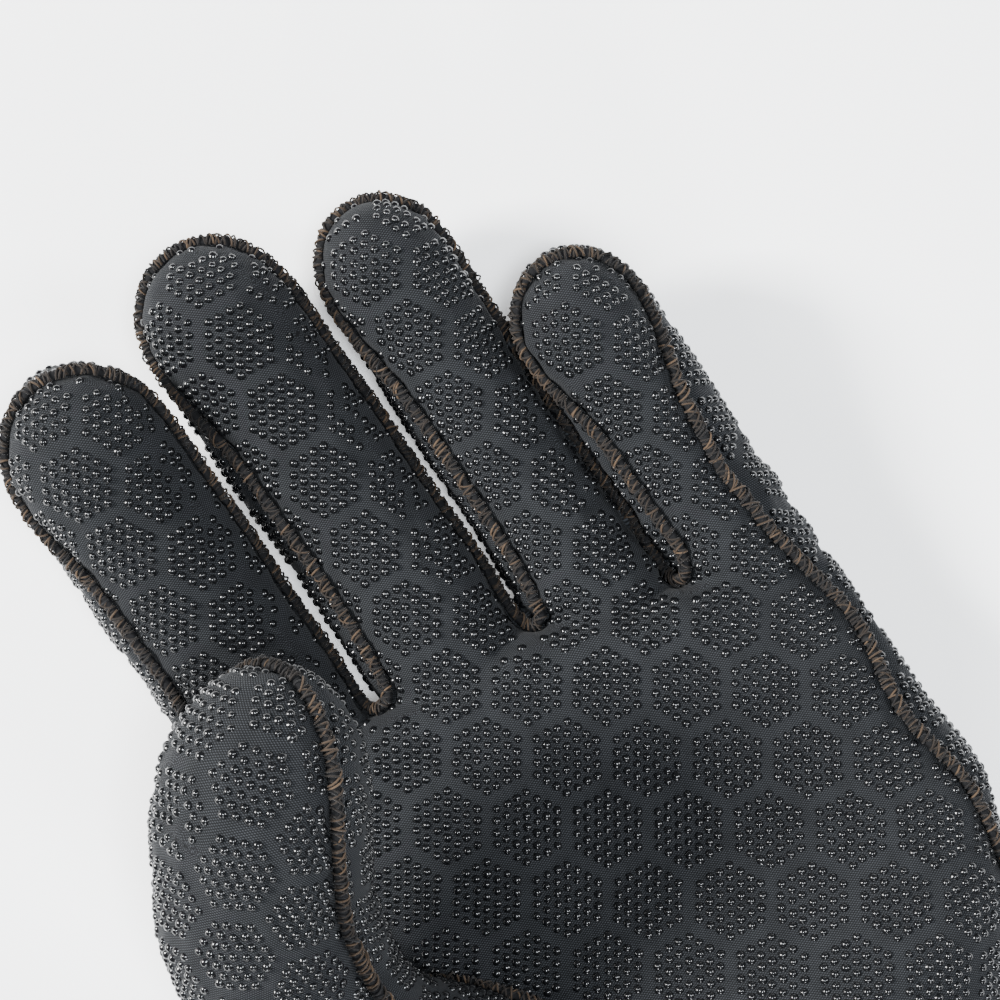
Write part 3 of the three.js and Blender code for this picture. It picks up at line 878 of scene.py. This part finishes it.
def sweep(path, radius, sides, facing):
    """Closed tubes through the points of many strands at once, as arrays of points and triangles. The path's axes
    are strand, point and place."""
    strands, count, _ = path.shape
    tangent = np.gradient(path, axis=1)
    tangent /= np.linalg.norm(tangent, axis=2)[..., None]
    side = np.cross(tangent, facing)
    side /= np.linalg.norm(side, axis=2)[..., None]
    up = np.cross(side, tangent)
    angles = 2 * np.pi * np.arange(sides) / sides
    ring = side[:, :, None] * np.cos(angles)[:, None] + up[:, :, None] * np.sin(angles)[:, None]
    points = path[:, :, None] + ring * radius
    points = points.reshape(strands, -1, 3)
    faces = []
    for i in range(count - 1):
        for k in range(sides):
            n = (k + 1) % sides
            a, b, c, d = i * sides + k, i * sides + n, (i + 1) * sides + n, (i + 1) * sides + k
            faces += [(a, b, c), (a, c, d)]
    for k in range(1, sides - 1):
        faces.append((0, k + 1, k))
        last = (count - 1) * sides
        faces.append((last, last + k, last + k + 1))
    faces = np.array(faces)
    every = (faces[None] + (np.arange(strands) * count * sides)[:, None, None]).reshape(-1, 3)
    return points.reshape(-1, 3), every

RIDGE_SIDE = [(0.95, -0.5), (0.78, 0.12), (0.45, 0.52)]
RIDGE_TOP = 0.68

def ridge_mesh(line, up, across, closed, rng):
    """The folded cloth edges under the threads: a low rounded ridge that rises and falls a little."""
    shape = [(-s, h) for s, h in RIDGE_SIDE] + [(0, RIDGE_TOP)] + RIDGE_SIDE[::-1]
    wave = 1 + 0.10 * np.sin(np.arange(len(line)) * 1.9) + rng.normal(0, 0.04, len(line))
    rows = [line + across * (s * MM) * wave[:, None] + up * (h * MM) * wave[:, None] for s, h in shape]
    points = np.stack(rows, 1)
    width = len(shape)
    faces = []
    for i in range(len(line) - 1):
        for k in range(width):
            n = (k + 1) % width
            a, b, c, d = i * width + k, i * width + n, (i + 1) * width + n, (i + 1) * width + k
            faces += [(a, d, c), (a, c, b)]
    if not closed:
        last = (len(line) - 1) * width
        for k in range(1, width - 1):
            faces.append((0, k, k + 1))
            faces.append((last, last + k + 1, last + k))
    return points.reshape(-1, 3), np.array(faces)

def thread_material():
    """Spun thread from near black to brown, by each stitch's own tone."""
    material = bpy.data.materials.new("seam_thread")
    material.use_nodes = True
    tree = material.node_tree
    shader = tree.nodes["Principled BSDF"]
    shader.inputs["Roughness"].default_value = 0.7
    shader.inputs["Specular IOR Level"].default_value = 0.15
    shader.inputs["Sheen Weight"].default_value = 0.05
    tone = new_node(tree, "ShaderNodeAttribute", attribute_name="tone")
    ramp = tree.nodes.new("ShaderNodeValToRGB")
    ramp.color_ramp.elements[0].position = 0.0
    ramp.color_ramp.elements[0].color = (0.004, 0.004, 0.0045, 1)
    ramp.color_ramp.elements[1].position = 1.0
    ramp.color_ramp.elements[1].color = (0.06, 0.038, 0.022, 1)
    mid = ramp.color_ramp.elements.new(0.55)
    mid.color = (0.013, 0.0095, 0.007, 1)
    tree.links.new(tone.outputs["Fac"], ramp.inputs["Fac"])
    tree.links.new(ramp.outputs["Color"], shader.inputs["Base Color"])
    return material

thread = thread_material()
rng = np.random.default_rng(3)
STITCH = 1.0
STITCH_SHIFT = 0.22
STITCH_LEAN = 0.65
LEAN_UNEVEN = 0.35
TALL_UNEVEN = 0.13
OVERLAP = 0.1
TONES = {1: 0.55, -1: 0.35}
TONE_UNEVEN = 0.25
SHORTEST_SEAM = 5
THREAD_REACH = 1.1
THREAD_RADIUS = 0.18 * MM
THREAD_SIDE = [(THREAD_REACH, -0.35), (0.87, 0.3), (0.46, 0.72)]
THREAD_TOP = 0.86
thread_profile = [(-s, h) for s, h in THREAD_SIDE] + [(0, THREAD_TOP)] + THREAD_SIDE[::-1]
for name, lines in seams.items():
    ridge_points, ridge_faces, thread_points, thread_faces, tones = [], [], [], [], []
    ridge_count = thread_count = 0
    for points, closed in lines:
        line = even_line(points, closed, STITCH * MM)
        if len(line) < SHORTEST_SEAM:
            continue
        tangent, up, across = seam_frame(line, closed)
        p, f = ridge_mesh(line, up, across, closed, rng)
        ridge_points.append(p)
        ridge_faces.append(f + ridge_count)
        ridge_count += len(p)
        # The brown thread slants one way and lies over the dark one, which slants the other way.
        for slant in (1, -1):
            rows = []
            shift = rng.normal(0, STITCH_SHIFT, len(line))
            tall = 1 + rng.normal(0, TALL_UNEVEN, len(line))
            lean = STITCH_LEAN + rng.normal(0, LEAN_UNEVEN, len(line))
            for s, h in thread_profile:
                height = h + OVERLAP * (slant > 0)
                over = across * (s * MM) * tall[:, None] + up * (height * MM) * tall[:, None]
                along = tangent * ((s / THREAD_REACH * lean * slant + shift) * MM)[:, None]
                rows.append(line + over + along)
            path = np.stack(rows, 1)
            p, f = sweep(path, THREAD_RADIUS, 4, np.broadcast_to(tangent[:, None], path.shape))
            thread_points.append(p)
            thread_faces.append(f + thread_count)
            thread_count += len(p)
            tone = np.clip(rng.normal(TONES[slant], TONE_UNEVEN, len(line)), 0, 1)
            tones.append(np.repeat(tone, len(p) // len(line)))
    ridge = mesh_object(name + "_fold", np.concatenate(ridge_points), np.concatenate(ridge_faces))
    ridge.data.materials.append(foam)
    threads = mesh_object(name + "_threads", np.concatenate(thread_points), np.concatenate(thread_faces))
    threads.data.attributes.new("tone", "FLOAT", "POINT").data.foreach_set("value", np.concatenate(tones))
    threads.data.materials.append(thread)
    for obj in (ridge, threads):
        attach(obj, "root")


# The panels' thickness.
# Each panel gets its 3 mm of foam rubber inward, with the knit on both faces and the bare foam on the cut edges,
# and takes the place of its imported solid.
WALL = 3 * MM
for name, piece in pieces.items():
    piece.data.materials.append(knit)
    piece.data.materials.append(foam)
    apply_modifier(piece, "SOLIDIFY", thickness=WALL, offset=-1, use_even_offset=False, material_offset_rim=1)
    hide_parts(name)
    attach(piece, "root")
